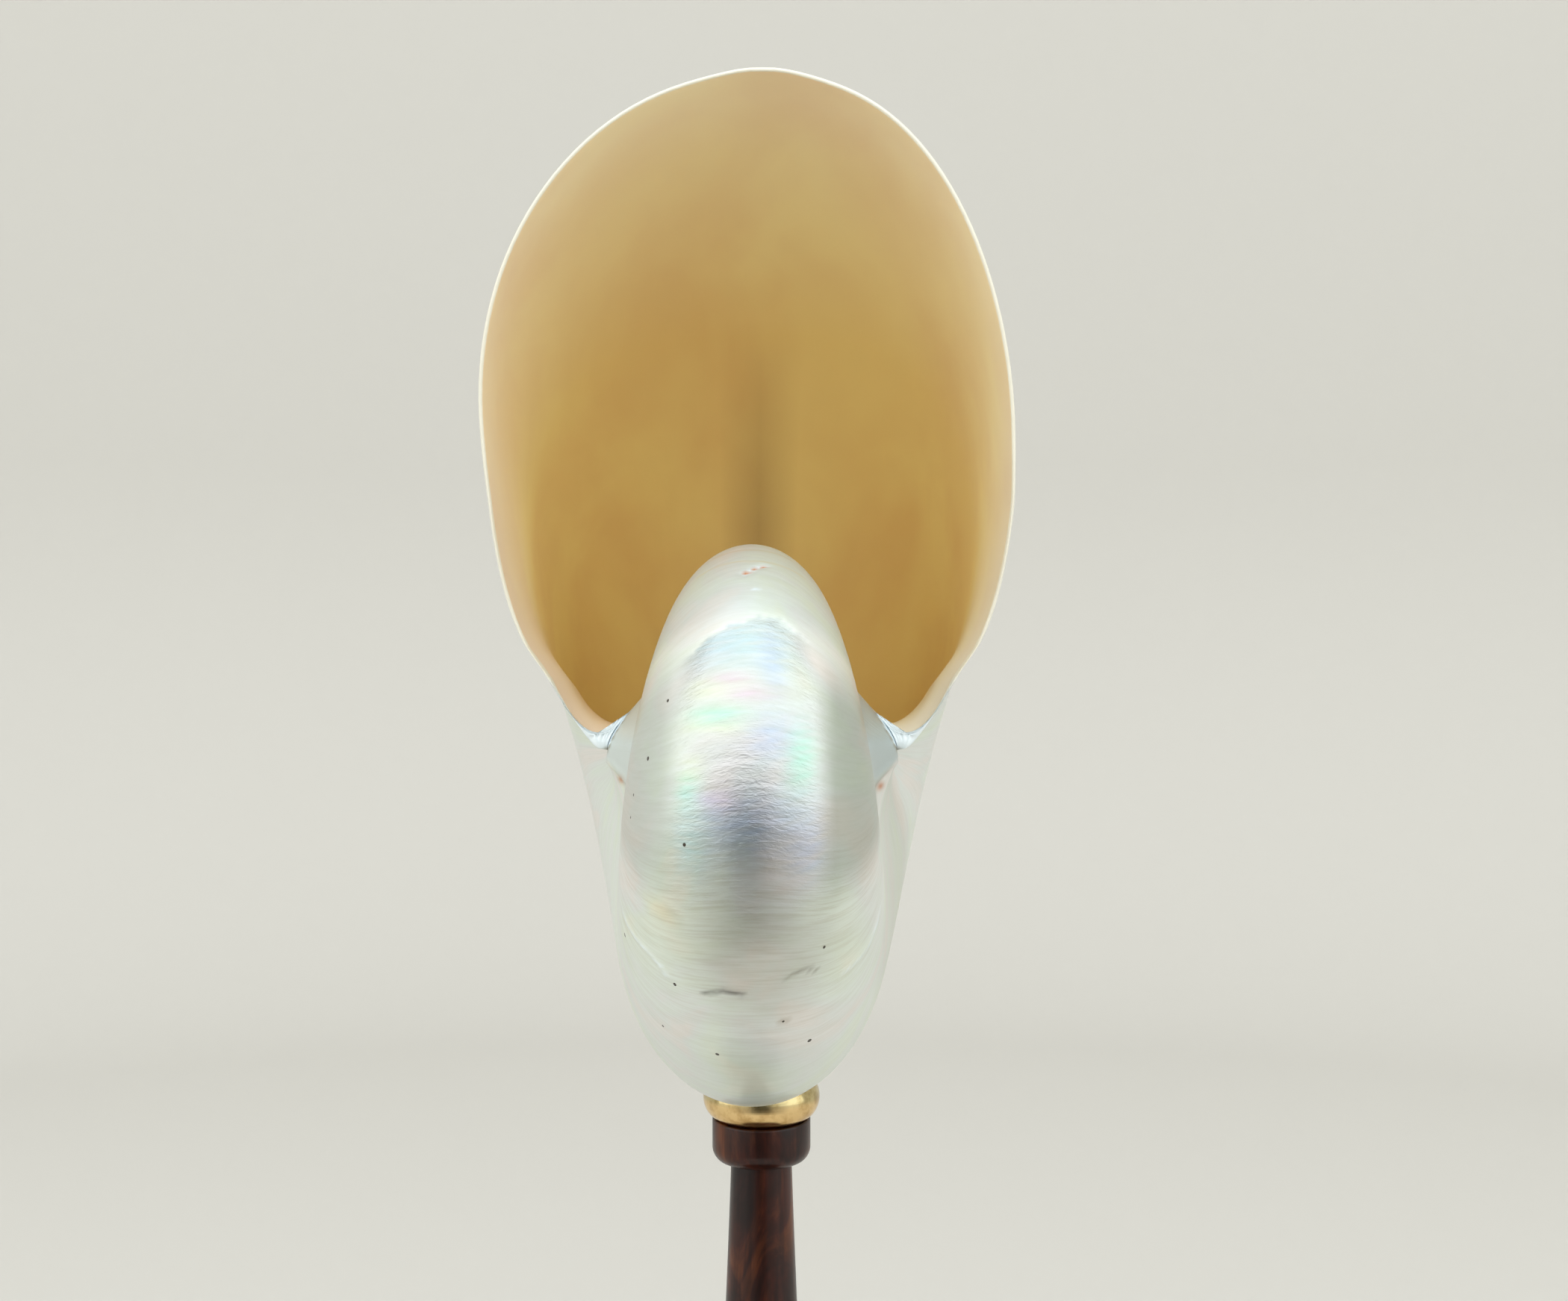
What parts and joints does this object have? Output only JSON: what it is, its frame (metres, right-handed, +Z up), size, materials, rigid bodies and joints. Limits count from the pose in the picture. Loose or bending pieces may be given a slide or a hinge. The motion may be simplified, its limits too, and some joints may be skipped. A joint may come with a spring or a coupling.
{
  "type": "nautilus shell on a turned stand",
  "caption": "Polished pearl nautilus shell, whole, mouth forward, resting in a brass ring on a slim turned wooden stem with a round foot.",
  "frame": {"origin": "centre of the foot's flat underside, on the stem's axis", "axes": "+Z up along the stem, -Y out of the shell's mouth, X along the coil's axis"},
  "size_m": [0.0854, 0.1215, 0.2763],
  "materials": {
    "pearl": "satin",
    "brass": "polished",
    "wood": "varnished"
  },
  "bodies": {
    "root": {"shell": "pearl", "brass_ring": "brass", "stem": "wood", "base": "wood"}
  },
  "joints": []
}
